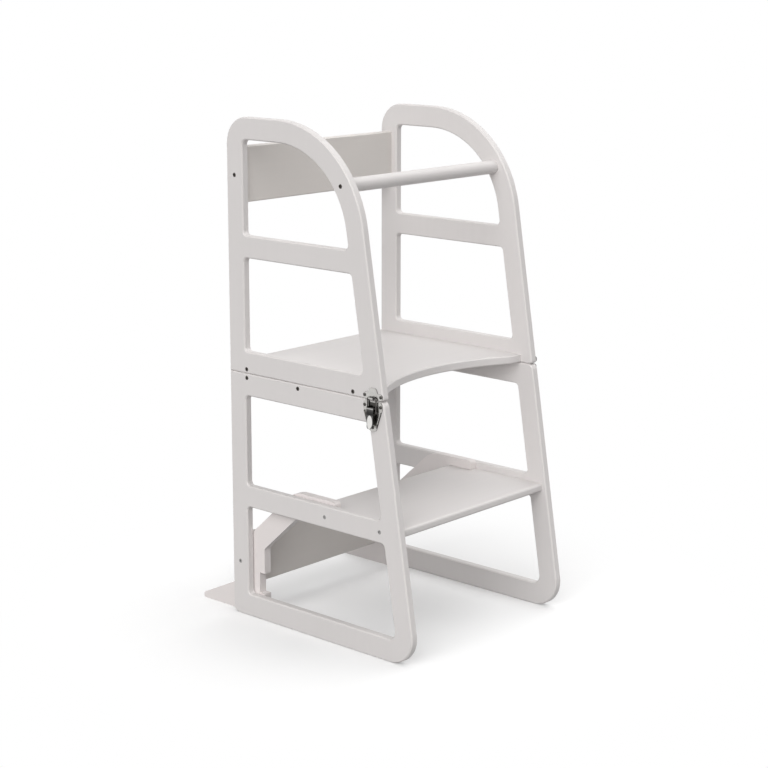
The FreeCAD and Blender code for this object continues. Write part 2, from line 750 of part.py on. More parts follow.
def latch_base():
    """A shield-shaped plate with raised rims along its taper and two ears for the lever's pin."""
    half = LATCH_BASE_WIDTH / 2
    tip = LATCH_BASE_TIP_WIDTH / 2
    shield = [
        (-half, LATCH_BASE_TOP, LATCH_PLATE_RADIUS),
        (half, LATCH_BASE_TOP, LATCH_PLATE_RADIUS),
        (half, LATCH_BASE_SHOULDER, LATCH_PLATE_RADIUS),
        (tip, LATCH_BASE_BOTTOM, LATCH_BASE_TIP_RADIUS),
        (-tip, LATCH_BASE_BOTTOM, LATCH_BASE_TIP_RADIUS),
        (-half, LATCH_BASE_SHOULDER, LATCH_PLATE_RADIUS),
    ]
    solid = outline(shield, on_latch_face(0)).extrude(Vector(-LATCH_PLATE, 0, 0))
    ear = [
        (0, LEVER_PIVOT_UP - EAR_RADIUS, 0),
        (LEVER_PIVOT_OUT + EAR_RADIUS, LEVER_PIVOT_UP - EAR_RADIUS, EAR_RADIUS),
        (LEVER_PIVOT_OUT + EAR_RADIUS, LEVER_PIVOT_UP + EAR_RADIUS, EAR_RADIUS),
        (0, LEVER_PIVOT_UP + EAR_RADIUS, 0),
    ]
    shoulder = Vector(half, LATCH_BASE_SHOULDER, 0)
    end = Vector(tip, LATCH_BASE_BOTTOM, 0)
    down = (end - shoulder).normalize()
    inward = Vector(down.y, -down.x, 0) * LATCH_PLATE
    rim_start = shoulder + down * LATCH_PLATE_RADIUS
    rim_end = end - down * LATCH_BASE_TIP_RADIUS
    rim = [rim_start, rim_end, rim_end + inward, rim_start + inward]
    for side in (-1, 1):
        foot = outline([(side * point.x, point.y, 0) for point in rim], on_latch_face(0))
        solid = solid.fuse(foot.extrude(Vector(-LATCH_RIM_HEIGHT, 0, 0)))
    for cheek in latch_cheeks(ear, EAR_HALF_SPACING, LATCH_PLATE):
        solid = solid.fuse(cheek)
    pin_bore = latch_bore(LEVER_PIVOT_OUT, LEVER_PIVOT_UP, LEVER_PIN_RADIUS, FLANGE_OUTER)
    return drilled(solid.removeSplitter().cut(pin_bore), BASE_HOLES)


def latch_lever():
    """A channel that straddles the ears and tapers to a tongue with a finger curl at its tip."""
    web_top = LEVER_PIVOT_UP + LEVER_WEB_RISE
    curl_start = LEVER_TIP_UP + LEVER_CURL_LENGTH
    web_profile = [
        (LEVER_WEB_OUT, web_top, 0),
        (WEB_OUTER, web_top, 0),
        (WEB_OUTER, curl_start, LEVER_CURL_LENGTH / 2),
        (WEB_OUTER + LEVER_CURL_OUT, LEVER_TIP_UP, 0),
        (LEVER_WEB_OUT + LEVER_CURL_OUT, LEVER_TIP_UP, 0),
        (LEVER_WEB_OUT, curl_start, LEVER_CURL_LENGTH / 2),
    ]
    web = outline(web_profile, in_latch_profile(-FLANGE_OUTER)).extrude(Vector(0, 2 * FLANGE_OUTER, 0))
    flange_low = LEVER_PIVOT_UP - LEVER_FLANGE_DROP
    tip = LEVER_TIP_WIDTH / 2
    front = [
        (-FLANGE_OUTER, web_top, 0),
        (FLANGE_OUTER, web_top, 0),
        (FLANGE_OUTER, flange_low, 0),
        (tip, LEVER_TIP_UP, LEVER_TIP_RADIUS),
        (-tip, LEVER_TIP_UP, LEVER_TIP_RADIUS),
        (-FLANGE_OUTER, flange_low, 0),
    ]
    depth = WEB_OUTER + LEVER_CURL_OUT
    solid = web.common(outline(front, on_latch_face(0)).extrude(Vector(-depth, 0, 0)))
    inner = LATCH_PLATE + LEVER_FLANGE_GAP
    flange = [
        (inner, LEVER_PIVOT_UP + LEVER_FLANGE_RISE, LEVER_FLANGE_RADIUS),
        (WEB_OUTER, LEVER_PIVOT_UP + LEVER_FLANGE_RISE, LEVER_FLANGE_RADIUS),
        (WEB_OUTER, flange_low, 0),
        (inner, flange_low, 0),
    ]
    for cheek in latch_cheeks(flange, FLANGE_INNER, LEVER_SHEET):
        solid = solid.fuse(cheek)
    for out, up, radius in (
        (LEVER_PIVOT_OUT, LEVER_PIVOT_UP, LEVER_PIN_RADIUS),
        (BAIL_PIVOT_OUT, BAIL_PIVOT_UP, BAIL_PIN_RADIUS),
    ):
        solid = solid.cut(latch_bore(out, up, radius, FLANGE_OUTER))
    return solid.removeSplitter()


def latch_bail():
    """A loop of wire: an eye on each end of the bail's pin, two arms, two bends and a bar."""
    pivot = in_latch_profile(0)(BAIL_PIVOT_OUT, BAIL_PIVOT_UP)
    bar = in_latch_profile(0)(BAIL_BAR_OUT, BAIL_BAR_UP)
    rise = (bar - pivot).normalize()
    arm_length = (bar - pivot).Length - BAIL_BEND_RADIUS
    reach = BAIL_INNER + BAIL_WIRE_RADIUS
    half_path = [(reach, 0)]
    for step in range(BAIL_BEND_STEPS + 1):
        turn = math.pi / 2 * step / BAIL_BEND_STEPS
        half_path.append(
            (
                reach - BAIL_BEND_RADIUS * (1 - math.cos(turn)),
                arm_length + BAIL_BEND_RADIUS * math.sin(turn),
            )
        )
    flat_path = half_path + [(-along, up) for along, up in reversed(half_path)]
    path = [pivot + Vector(0, along, 0) + rise * up for along, up in flat_path]
    loop = bent_wire(path, rise.cross(Vector(0, 1, 0)), BAIL_WIRE_RADIUS, PIN_SIDES)
    eye = rod(2 * BAIL_WIRE_RADIUS, BAIL_EYE_RADIUS, BARREL_SIDES)
    for start in (-BAIL_OUTER, BAIL_INNER):
        loop = loop.fuse(across(eye, pivot + Vector(0, start, 0), 90))
    return loop.cut(latch_bore(BAIL_PIVOT_OUT, BAIL_PIVOT_UP, BAIL_PIN_RADIUS, BAIL_OUTER))


def latch_catch():
    """A humped plate with a hook, bent out and up, that the bail's bar drops into."""
    ear = CATCH_EAR_WIDTH / 2
    hump = CATCH_HUMP_WIDTH / 2
    plate = [
        (-ear, CATCH_BOTTOM, LATCH_PLATE_RADIUS),
        (ear, CATCH_BOTTOM, LATCH_PLATE_RADIUS),
        (ear, CATCH_EAR_TOP, LATCH_PLATE_RADIUS),
        (hump + CATCH_HUMP_FOOT, CATCH_EAR_TOP, 0),
        (hump, CATCH_HUMP_TOP, CATCH_HUMP_RADIUS),
        (-hump, CATCH_HUMP_TOP, CATCH_HUMP_RADIUS),
        (-hump - CATCH_HUMP_FOOT, CATCH_EAR_TOP, 0),
        (-ear, CATCH_EAR_TOP, LATCH_PLATE_RADIUS),
    ]
    solid = outline(plate, on_latch_face(0)).extrude(Vector(-LATCH_PLATE, 0, 0))
    seat = BAIL_BAR_UP - BAIL_WIRE_RADIUS - HOOK_SEAT_GAP
    lip_inner = LATCH_PLATE + HOOK_MOUTH
    lip_outer = lip_inner + HOOK_SHEET
    lip_top = seat + HOOK_LIP_HEIGHT
    hook = [
        (0, seat - HOOK_SHEET, 0),
        (lip_outer, seat - HOOK_SHEET, HOOK_BEND_RADIUS + HOOK_SHEET),
        (lip_outer, lip_top, 0),
        (lip_inner, lip_top, 0),
        (lip_inner, seat, HOOK_BEND_RADIUS),
        (0, seat, 0),
    ]
    hook_solid = outline(hook, in_latch_profile(-HOOK_HALF_WIDTH)).extrude(Vector(0, 2 * HOOK_HALF_WIDTH, 0))
    return drilled(solid.fuse(hook_solid).removeSplitter(), CATCH_HOLES)


def latch_pins():
    """The lever's pin, riveted over its flanges, and the bail's pin, through both eyes."""
    lever_pin = latch_pin(LEVER_PIVOT_OUT, LEVER_PIVOT_UP, LEVER_PIN_RADIUS, FLANGE_OUTER + RIVET_HEAD)
    bail_pin = latch_pin(BAIL_PIVOT_OUT, BAIL_PIVOT_UP, BAIL_PIN_RADIUS, BAIL_OUTER + BAIL_PIN_END)
    return lever_pin, bail_pin


# ---- The assembly ----


def sided(name, left_solid):
    """The left piece and its mirror image under their two names."""
    return {name + "_left": left_solid, name + "_right": mirrored(left_solid)}


def assembly():
    """Every piece by name."""
    pieces = {}
    pieces.update(sided("side_panel_upper", upper_left_panel()))
    pieces.update(sided("side_panel_lower", lower_left_panel()))
    pieces["backrest_board"] = drilled(upright_board(BACKREST_BOTTOM), UPPER_HOLES)
    pieces["front_rail"] = front_rail()
    pieces["platform_board"] = platform_board()
    pieces["table_board"] = table_board()
    pieces["step_board"] = step_board()
    pieces["rear_cross_board"] = drilled(upright_board(CROSS_BOARD_LIFT), LOWER_HOLES + FOOT_HOLES)
    pieces.update(sided("stabiliser_foot", left_stabiliser_foot()))
    pieces["panel_screws_upper"] = Part.makeCompound(side_screws(UPPER_SCREW_POINTS))
    pieces["panel_screws_lower"] = Part.makeCompound(side_screws(LOWER_SCREW_POINTS))
    pieces["stabiliser_screws"] = Part.makeCompound(foot_screws())
    upper_leaf, lower_leaf, hinge_pin = hinge_pieces()
    pieces.update(sided("hinge_leaf_upper", upper_leaf))
    pieces.update(sided("hinge_leaf_lower", lower_leaf))
    pieces.update(sided("hinge_pin", hinge_pin))
    pieces["hinge_screws_upper"] = Part.makeCompound(hinge_screws(PLATFORM_MIDDLE))
    pieces["hinge_screws_lower"] = Part.makeCompound(hinge_screws(TABLE_MIDDLE))
    lever_pin, bail_pin = latch_pins()
    pieces.update(sided("latch_catch", latch_catch()))
    pieces.update(sided("latch_base", latch_base()))
    pieces.update(sided("latch_lever", latch_lever()))
    pieces.update(sided("latch_lever_pin", lever_pin))
    pieces.update(sided("latch_bail_pin", bail_pin))
    pieces.update(sided("latch_bail", latch_bail()))
    pieces["latch_screws_upper"] = Part.makeCompound(latch_screws(CATCH_SCREW_POINTS))
    pieces["latch_screws_lower"] = Part.makeCompound(latch_screws(BASE_SCREW_POINTS))
    return pieces


os.makedirs("parts", exist_ok=True)
for node, piece in assembly().items():
    piece.exportStep("parts/" + node + ".step")
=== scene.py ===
import json
import math

import bmesh
import bpy
from mathutils import Matrix, Vector


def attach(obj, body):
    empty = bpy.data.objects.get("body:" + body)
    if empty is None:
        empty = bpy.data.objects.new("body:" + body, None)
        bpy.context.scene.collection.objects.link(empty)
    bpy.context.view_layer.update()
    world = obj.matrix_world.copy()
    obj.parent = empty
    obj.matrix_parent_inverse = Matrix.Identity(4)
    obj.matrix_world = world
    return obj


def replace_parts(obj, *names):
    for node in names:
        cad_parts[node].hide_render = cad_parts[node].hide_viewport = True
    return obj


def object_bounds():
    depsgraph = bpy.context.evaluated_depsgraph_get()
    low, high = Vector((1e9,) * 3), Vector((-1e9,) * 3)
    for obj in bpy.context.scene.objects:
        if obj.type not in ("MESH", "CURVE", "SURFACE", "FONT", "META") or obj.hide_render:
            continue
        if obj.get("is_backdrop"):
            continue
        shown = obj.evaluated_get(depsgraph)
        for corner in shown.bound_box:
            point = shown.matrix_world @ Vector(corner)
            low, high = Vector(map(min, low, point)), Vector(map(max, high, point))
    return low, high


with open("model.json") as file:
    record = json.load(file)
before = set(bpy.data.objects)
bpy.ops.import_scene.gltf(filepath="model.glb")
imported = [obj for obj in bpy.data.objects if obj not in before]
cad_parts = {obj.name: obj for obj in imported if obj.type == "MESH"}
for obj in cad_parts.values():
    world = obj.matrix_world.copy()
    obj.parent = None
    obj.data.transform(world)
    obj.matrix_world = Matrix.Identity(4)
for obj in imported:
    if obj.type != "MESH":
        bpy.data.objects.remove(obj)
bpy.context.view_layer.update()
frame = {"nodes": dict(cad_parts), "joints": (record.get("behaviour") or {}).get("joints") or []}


# ---- The view ----
# The tower stands in the middle of the picture, seen through a long lens from its left
# front corner and from a little above its top.

view_place = (-2.4299, -2.2082, 1.1690)
view_turn = -47.917
view_down = 12.913
view_roll = 0.08
view_lens = 87.62
film_width = 36.0
sight_end = 60.0

camera = bpy.data.objects.new("view", bpy.data.cameras.new("view"))
bpy.context.scene.collection.objects.link(camera)
camera.data.lens = view_lens
camera.data.sensor_width = film_width
camera.data.clip_end = sight_end
level_turn = Matrix.Rotation(math.radians(view_turn), 4, "Z")
tilt_down = Matrix.Rotation(math.radians(90 - view_down), 4, "X")
slight_roll = Matrix.Rotation(math.radians(view_roll), 4, "Z")
camera.matrix_world = Matrix.Translation(view_place) @ level_turn @ tilt_down @ slight_roll
bpy.context.scene.camera = camera
bpy.context.scene.view_settings.view_transform = "Standard"


# ---- The floor and the light ----
# A studio floor that keeps a soft shadow near the tower and is plain white further out,
# in the even light of a white room, of one broad, soft light overhead and one lower down
# on the tower's left.

floor_half = 40.0
floor_white = (0.84, 0.84, 0.84)
floor_bounce = (0.30, 0.30, 0.30)
floor_glow = 0.15
shadow_until = 0.24
clear_from = 0.68
plain_white = (1, 1, 1, 1)
room_light = 0.38
top_light = 1.32
top_light_from = (0.42, -0.14, 0.90)
side_light = 2.20
side_light_from = (-0.80, -0.36, 0.52)
light_spread = 60.0


def shader_tree(material):
    """The material's empty node tree and its output."""
    material.use_nodes = True
    tree = material.node_tree
    tree.nodes.clear()
    return tree, tree.nodes.new("ShaderNodeOutputMaterial")


def linked(tree, kind, settings=(), **inputs):
    """A new node, its settings made and its inputs set or linked, by name or as i and a number."""
    node = tree.nodes.new(kind)
    for name, value in dict(settings).items():
        setattr(node, name, value)
    for name, value in inputs.items():
        numbered = name[0] == "i" and name[1:].isdigit()
        socket = node.inputs[int(name[1:]) if numbered else name.replace("_", " ")]
        if isinstance(value, bpy.types.NodeSocket):
            tree.links.new(value, socket)
        else:
            socket.default_value = value
    return node


def sums(tree, operation, *values):
    """The result of one arithmetic step."""
    inputs = {"i%d" % place: value for place, value in enumerate(values)}
    return linked(tree, "ShaderNodeMath", {"operation": operation}, **inputs).outputs[0]


def fade(tree, value, start, end, settings=()):
    """Nought where the value is at the start, changing to one at the end."""
    change = linked(tree, "ShaderNodeMapRange", settings, Value=value, From_Min=start, From_Max=end)
    return change.outputs["Result"]


def seen_directly(tree):
    """One where the camera or a reflection sees the surface itself, and nought for light."""
    rays = tree.nodes.new("ShaderNodeLightPath")
    seen = rays.outputs["Is Camera Ray"]
    for kind in ("Is Glossy Ray", "Is Transmission Ray"):
        seen = sums(tree, "MAXIMUM", seen, rays.outputs[kind])
    return seen


floor_corners = [
    (x * floor_half, y * floor_half, 0) for x, y in ((-1, -1), (1, -1), (1, 1), (-1, 1))
]
floor_mesh = bpy.data.meshes.new("floor")
floor_mesh.from_pydata(floor_corners, [], [(0, 1, 2, 3)])
floor = bpy.data.objects.new("floor", floor_mesh)
bpy.context.scene.collection.objects.link(floor)

studio_white = bpy.data.materials.new("studio_white")
tree, output = shader_tree(studio_white)
seen = seen_directly(tree)
shown_floor = linked(tree, "ShaderNodeBsdfDiffuse", Color=(*floor_white, 1))
lighting_floor = linked(tree, "ShaderNodeBsdfDiffuse", Color=(*floor_bounce, 1))
either_floor = linked(
    tree, "ShaderNodeMixShader", i0=seen, i1=lighting_floor.outputs[0], i2=shown_floor.outputs[0]
)
glow_level = sums(tree, "MULTIPLY", seen, floor_glow)
glow = linked(tree, "ShaderNodeEmission", Color=plain_white, Strength=glow_level)
lit_floor = linked(tree, "ShaderNodeAddShader", i0=either_floor.outputs[0], i1=glow.outputs[0])

floor_place = tree.nodes.new("ShaderNodeTexCoord").outputs["Object"]
from_tower = linked(tree, "ShaderNodeVectorMath", {"operation": "LENGTH"}, i0=floor_place)
softly = {"interpolation_type": "SMOOTHSTEP"}
clearing = fade(tree, from_tower.outputs["Value"], shadow_until, clear_from, softly)
how_clear = sums(tree, "MULTIPLY", seen, clearing)
clear_floor = linked(tree, "ShaderNodeEmission", Color=plain_white, Strength=1.0)
whole_floor = linked(
    tree, "ShaderNodeMixShader", i0=how_clear, i1=lit_floor.outputs[0], i2=clear_floor.outputs[0]
)
tree.links.new(whole_floor.outputs[0], output.inputs["Surface"])
floor_mesh.materials.append(studio_white)
floor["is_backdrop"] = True

room = bpy.data.worlds.new("white_room")
bpy.context.scene.world = room
room.use_nodes = True
room_tree = room.node_tree
room_tree.nodes.clear()
room_output = room_tree.nodes.new("ShaderNodeOutputWorld")
lighting_room = linked(room_tree, "ShaderNodeBackground", Color=plain_white, Strength=room_light)
shown_room = linked(room_tree, "ShaderNodeBackground", Color=plain_white, Strength=1.0)
either_room = linked(
    room_tree,
    "ShaderNodeMixShader",
    i0=seen_directly(room_tree),
    i1=lighting_room.outputs[0],
    i2=shown_room.outputs[0],
)
room_tree.links.new(either_room.outputs[0], room_output.inputs["Surface"])

for name, strength, source in (
    ("top_light", top_light, top_light_from),
    ("side_light", side_light, side_light_from),
):
    lamp = bpy.data.lights.new(name, "SUN")
    lamp.energy = strength
    lamp.angle = math.radians(light_spread)
    lit_from = bpy.data.objects.new(name, lamp)
    lit_from.rotation_euler = Vector(source).to_track_quat("Z", "Y").to_euler()
    bpy.context.scene.collection.objects.link(lit_from)


# ---- Side panels ----
# Two frames in each unit, cut from 15 mm birch plywood with rounded edges, primed and
# rolled with a warm light grey satin paint. The plies show faintly on the cut edges.

across, back, up = 0, 1, 2
paint_grey = (0.690, 0.662, 0.652)
thin_paint = (0.630, 0.592, 0.570)
grain_across = 90.0
grain_along = 4.0
grain_detail = 5.0
grain_breakup = 0.6
roller_marks = 520.0
roller_detail = 2.0
patch_marks = 7.0
patch_detail = 3.0
middle_mark = 0.5
edge_starts = 0.35
edge_whole = 0.05
rounding_gain = 4.0
ply_thickness = 0.00167
ply_wobble = 0.35
half_ply = 0.5
glue_sharpness = 3.0
grain_tone = 0.035
patch_tone = 0.05
ply_tone = 0.045
rubbed_share = 0.45
satin_rough = 0.30
roller_rough = 0.14
patch_rough = 0.16
roller_height = 0.5
grain_height = 0.6
ply_groove = 0.35
paint_relief = 0.18
paint_depth = 0.0006


def noise(tree, place, marks, detail, **more):
    """Random marks, so many to the metre."""
    node = linked(tree, "ShaderNodeTexNoise", Vector=place, Scale=marks, Detail=detail, **more)
    return node.outputs[0]


def swing(tree, marks, amount):
    """The marks as a small change up and down about their middle."""
    return sums(tree, "MULTIPLY", sums(tree, "SUBTRACT", marks, middle_mark), amount)


def mixed(tree, share, colour, other):
    """One colour going over into another."""
    mixing = {"data_type": "RGBA", "blend_type": "MIX"}
    return linked(tree, "ShaderNodeMix", mixing, i0=share, i6=colour, i7=other).outputs[2]


def shaded(tree, colour, shade):
    """A colour made lighter or darker."""
    scaled = linked(tree, "ShaderNodeVectorMath", {"operation": "SCALE"}, i0=colour, i3=shade)
    return scaled.outputs[0]


def coat(tree, output, colour, rough, height, relief, depth, **shine):
    """The outer surface, with its colour, its gloss and a fine relief."""
    bump = linked(tree, "ShaderNodeBump", Strength=relief, Distance=depth, Height=height)
    surface = linked(
        tree,
        "ShaderNodeBsdfPrincipled",
        Base_Color=colour,
        Roughness=rough,
        Normal=bump.outputs[0],
        **shine,
    )
    tree.links.new(surface.outputs[0], output.inputs["Surface"])


def painted_plywood(name, grain, through, paint=paint_grey):
    """Rolled satin paint over plywood, its grain along one axis and its plies through another."""
    material = bpy.data.materials.new(name)
    tree, output = shader_tree(material)
    place = tree.nodes.new("ShaderNodeTexCoord")
    spot = place.outputs["Object"]
    stretch = [grain_across, grain_across, grain_across]
    stretch[grain] = grain_along
    stretched = linked(tree, "ShaderNodeMapping", Vector=spot, Scale=stretch).outputs[0]
    fibres = noise(tree, stretched, 1.0, grain_detail, Roughness=grain_breakup)
    roller = noise(tree, spot, roller_marks, roller_detail)
    patches = noise(tree, spot, patch_marks, patch_detail)

    facing = linked(tree, "ShaderNodeSeparateXYZ", Vector=place.outputs["Normal"])
    flat = sums(tree, "ABSOLUTE", facing.outputs[through])
    cut_edge = fade(tree, flat, edge_starts, edge_whole)
    half_turned = sums(tree, "MULTIPLY", flat, sums(tree, "SUBTRACT", 1.0, flat))
    rounding = sums(tree, "MULTIPLY", half_turned, rounding_gain)

    depth = linked(tree, "ShaderNodeSeparateXYZ", Vector=spot).outputs[through]
    wobble = sums(tree, "MULTIPLY", fibres, ply_wobble)
    layers = sums(tree, "ADD", sums(tree, "DIVIDE", depth, ply_thickness), wobble)
    glue_line = sums(tree, "POWER", sums(tree, "PINGPONG", layers, half_ply), glue_sharpness)
    whole_line = sums(tree, "MULTIPLY", glue_line, half_ply ** -glue_sharpness)
    ply_show = sums(tree, "MULTIPLY", whole_line, cut_edge)

    tone = sums(tree, "ADD", swing(tree, fibres, grain_tone), swing(tree, patches, patch_tone))
    ply_shade = sums(tree, "MULTIPLY", ply_show, ply_tone)
    shade = sums(tree, "SUBTRACT", sums(tree, "ADD", tone, 1.0), ply_shade)
    rubbed = sums(tree, "MULTIPLY", rounding, sums(tree, "MULTIPLY", patches, rubbed_share))
    colour = shaded(tree, mixed(tree, rubbed, (*paint, 1), (*thin_paint, 1)), shade)

    broad_rough = sums(tree, "ADD", sums(tree, "MULTIPLY", patches, patch_rough), satin_rough)
    rough = sums(tree, "ADD", sums(tree, "MULTIPLY", roller, roller_rough), broad_rough)
    grain_rise = sums(tree, "MULTIPLY", fibres, grain_height)
    wood_rise = sums(tree, "SUBTRACT", grain_rise, sums(tree, "MULTIPLY", ply_show, ply_groove))
    height = sums(tree, "ADD", sums(tree, "MULTIPLY", roller, roller_height), wood_rise)
    coat(tree, output, colour, rough, height, paint_relief, paint_depth)
    return material


def finish_with(material, *names):
    """Gives the named pieces one finish."""
    for name in names:
        piece = frame["nodes"][name]
        piece.data.materials.clear()
        piece.data.materials.append(material)


panel_paint = painted_plywood("panel_paint", grain=up, through=across)
finish_with(
    panel_paint,
    "side_panel_upper_left",
    "side_panel_upper_right",
    "side_panel_lower_left",
    "side_panel_lower_right",
)


# ---- Level boards ----
# The platform, the table board under it and the step: the same plywood, with the grain
# from panel to panel, held by screws through the panels into their ends.

level_paint = painted_plywood("level_board_paint", grain=across, through=up)
finish_with(level_paint, "platform_board", "table_board", "step_board")


# ---- Upright boards ----
# The backrest between the rear legs and the cross board low between them: plywood on
# edge, screwed through the panels in the same way.

# Warmer than the panels' paint: painted warm bounce light, as in the shade between the panels.
bounce_warmed_grey = (0.688, 0.652, 0.622)
upright_paint = painted_plywood(
    "upright_board_paint", grain=across, through=back, paint=bounce_warmed_grey
)
finish_with(upright_paint, "backrest_board", "rear_cross_board")


# ---- Front rail ----
# A turned beech bar between the two arches, painted with the panels and held by one
# screw on its axis at each end.

rail_paint = painted_plywood("rail_paint", grain=across, through=across)
finish_with(rail_paint, "front_rail")


# ---- Stabiliser feet ----
# Two plywood boards inside the panels that stand on the floor, reach out behind, and
# hook over the rear of the step, so that the tower can't tip back.

rosy_grey = (0.765, 0.718, 0.705)
foot_paint = painted_plywood("stabiliser_paint", grain=back, through=across, paint=rosy_grey)
finish_with(foot_paint, "stabiliser_foot_left", "stabiliser_foot_right")


# ---- Screws of the boards ----
# Countersunk furniture screws with a hexagon socket and a low rim that covers the hole,
# of dark burnished steel at the tabletop and above it, and of dull zinc lower down.

turn_steps = 24
sixth_turn = math.pi / 3
crease = math.radians(35)
same_point = 1e-6
zinc_below = 0.30
tip_radius = 0.0012
point_length = 0.004
shank_radius = 0.0021
sink_depth = 0.0024
rim_foot = 0.0037
rim_radius = 0.0038
rim_top = 0.0036
rim_height = 0.00030
socket_half = 0.0021
socket_floor = 0.0020
socket_depth = 0.0015
fine_detail = 4.0
broad_detail = 2.0
broad_size = 8
tone_change = 0.3
least_tone = 0.85
face_until = 0.75
edge_from = 0.45
well_side_blur = 0.0004
well_end_blur = 0.0006
plating_relief = 0.10
plating_depth = 0.0002


def within(tree, value, low, high, blur):
    """One where the value lies between two limits, with soft ends."""
    rise = fade(tree, value, low - blur, low + blur)
    fall = fade(tree, value, high + blur, high - blur)
    return sums(tree, "MULTIPLY", rise, fall)


def metal(name, colour, rough, rough_change, speckle, edge=None, edge_axis=across, shade_well=None):
    """Plated steel of slightly uneven gloss; where asked, a painted dark reflection on its sideways
    faces and painted shade in a well.
    """
    material = bpy.data.materials.new(name)
    tree, output = shader_tree(material)
    place = tree.nodes.new("ShaderNodeTexCoord")
    spot = place.outputs["Object"]
    fine = noise(tree, spot, speckle, fine_detail)
    broad = noise(tree, spot, speckle / broad_size, broad_detail)
    shade = sums(tree, "ADD", sums(tree, "MULTIPLY", broad, tone_change), least_tone)
    plated = shaded(tree, colour, shade)
    # Faces turned away from the edge axis get a painted dark reflection.
    if edge:
        facing = linked(tree, "ShaderNodeSeparateXYZ", Vector=place.outputs["Normal"])
        dark = fade(tree, sums(tree, "ABSOLUTE", facing.outputs[edge_axis]), face_until, edge_from)
        # Painted shade in the recess under the closed lever.
        if shade_well:
            middle, half, low, high = shade_well
            parts = linked(tree, "ShaderNodeSeparateXYZ", Vector=spot)
            wide = within(tree, parts.outputs[back], middle - half, middle + half, well_side_blur)
            tall = within(tree, parts.outputs[up], low, high, well_end_blur)
            dark = sums(tree, "MAXIMUM", dark, sums(tree, "MULTIPLY", wide, tall))
        plated = mixed(tree, dark, plated, (*edge, 1))
    gloss = sums(tree, "ADD", sums(tree, "MULTIPLY", fine, rough_change), rough)
    coat(tree, output, plated, gloss, fine, plating_relief, plating_depth, Metallic=1.0)
    return material


def circle(radius):
    """A round outline."""
    return lambda turn: radius


def hexagon(half_width):
    """The outline of a hexagon socket, by half its width between flats."""
    return lambda turn: half_width / math.cos(turn % sixth_turn - sixth_turn / 2)


def turned(mesh, middle, axis, rings, finish=0):
    """A closed piece round an axis from its middle, through rings of place and outline."""
    ahead = Vector(axis)
    beside = ahead.orthogonal().normalized()
    square = ahead.cross(beside)
    loops = []
    for along, outline in rings:
        loop = []
        for step in range(turn_steps):
            turn = 2 * math.pi * step / turn_steps
            outward = beside * math.cos(turn) + square * math.sin(turn)
            loop.append(mesh.verts.new(middle + ahead * along + outward * outline(turn)))
        loops.append(loop)
    faces = [mesh.faces.new(reversed(loops[0])), mesh.faces.new(loops[-1])]
    for here, there in zip(loops, loops[1:]):
        for step in range(turn_steps):
            after = (step + 1) % turn_steps
            faces.append(mesh.faces.new((here[step], here[after], there[after], there[step])))
    for face in faces:
        face.material_index = finish


def solid_boxes(name):
    """The lowest and highest corner of each separate solid of a CAD piece."""
    piece = frame["nodes"][name]
    solids = bmesh.new()
    solids.from_mesh(piece.data)
    solids.transform(piece.matrix_world)
    bmesh.ops.remove_doubles(solids, verts=solids.verts, dist=same_point)
    met = set()
    boxes = []
    for start in solids.verts:
        if start in met:
            continue
        met.add(start)
        found = [start]
        for corner in found:
            for edge in corner.link_edges:
                other = edge.other_vert(corner)
                if other not in met:
                    met.add(other)
                    found.append(other)
        low = Vector(min(corner.co[axis] for corner in found) for axis in range(3))
        high = Vector(max(corner.co[axis] for corner in found) for axis in range(3))
        boxes.append((low, high))
    solids.free()
    return boxes


def in_place_of(name, mesh, finishes, body, *nodes):
    """Puts the finished mesh on its body, in the place of CAD pieces of one slot."""
    data = bpy.data.meshes.new(name)
    mesh.to_mesh(data)
    mesh.free()
    data.shade_smooth()
    data.set_sharp_from_angle(angle=crease)
    for finish in finishes:
        data.materials.append(finish)
    piece = bpy.data.objects.new(name, data)
    bpy.context.scene.collection.objects.link(piece)
    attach(piece, body)
    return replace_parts(piece, *nodes)


def outer_end(low, high, axis, side):
    """The middle of a solid's outer end, and the direction out of it."""
    out = Vector((0, 0, 0))
    out[axis] = side
    middle = (low + high) / 2
    middle[axis] = high[axis] if side > 0 else low[axis]
    return middle, out


def board_screw(mesh, end, out, length, finish):
    """A countersunk screw inward from its rim, which stands a little proud."""
    rings = [
        (-length, circle(tip_radius)),
        (-length + point_length, circle(shank_radius)),
        (-sink_depth, circle(shank_radius)),
        (0.0, circle(rim_foot)),
        (rim_height / 2, circle(rim_radius)),
        (rim_height, circle(rim_top)),
        (rim_height, hexagon(socket_half)),
        (-socket_depth, hexagon(socket_floor)),
    ]
    turned(mesh, end, out, rings, finish)


burnished = metal(
    "burnished_screw",
    colour=(0.10, 0.092, 0.085),
    rough=0.30,
    rough_change=0.25,
    speckle=900.0,
)
dull_zinc = metal(
    "dull_zinc_screw",
    colour=(0.36, 0.355, 0.35),
    rough=0.42,
    rough_change=0.20,
    speckle=900.0,
)
for name, axis, body in (
    ("panel_screws_upper", across, "upper_unit"),
    ("panel_screws_lower", across, "lower_unit"),
    ("stabiliser_screws", back, "lower_unit"),
):
    screws = bmesh.new()
    for low, high in solid_boxes(name):
        side = 1 if axis == back or low[across] > 0 else -1
        end, out = outer_end(low, high, axis, side)
        board_screw(screws, end, out, high[axis] - low[axis], int(end.z < zinc_below))
    in_place_of(name + "_turned", screws, (burnished, dull_zinc), body, name)


# ---- Rear hinges ----
# Two narrow butt hinges on the rear edges of the platform and the table board, of zinc
# plated steel with loose pins, on which the upper unit folds back.

hinge_pin_radius = 0.00138
hinge_pin_end = 0.0009
hinge_pin_bevel = 0.0005
small_tip = 0.0006
small_point = 0.003
small_shank = 0.0013
leaf_sink = 0.0014
leaf_head = ((-0.0001, 0.0026), (0.00025, 0.0024), (0.00035, 0.0021))
leaf_head_top = 0.00035
leaf_socket = 0.0010
leaf_socket_floor = 0.0009
leaf_socket_depth = 0.0008


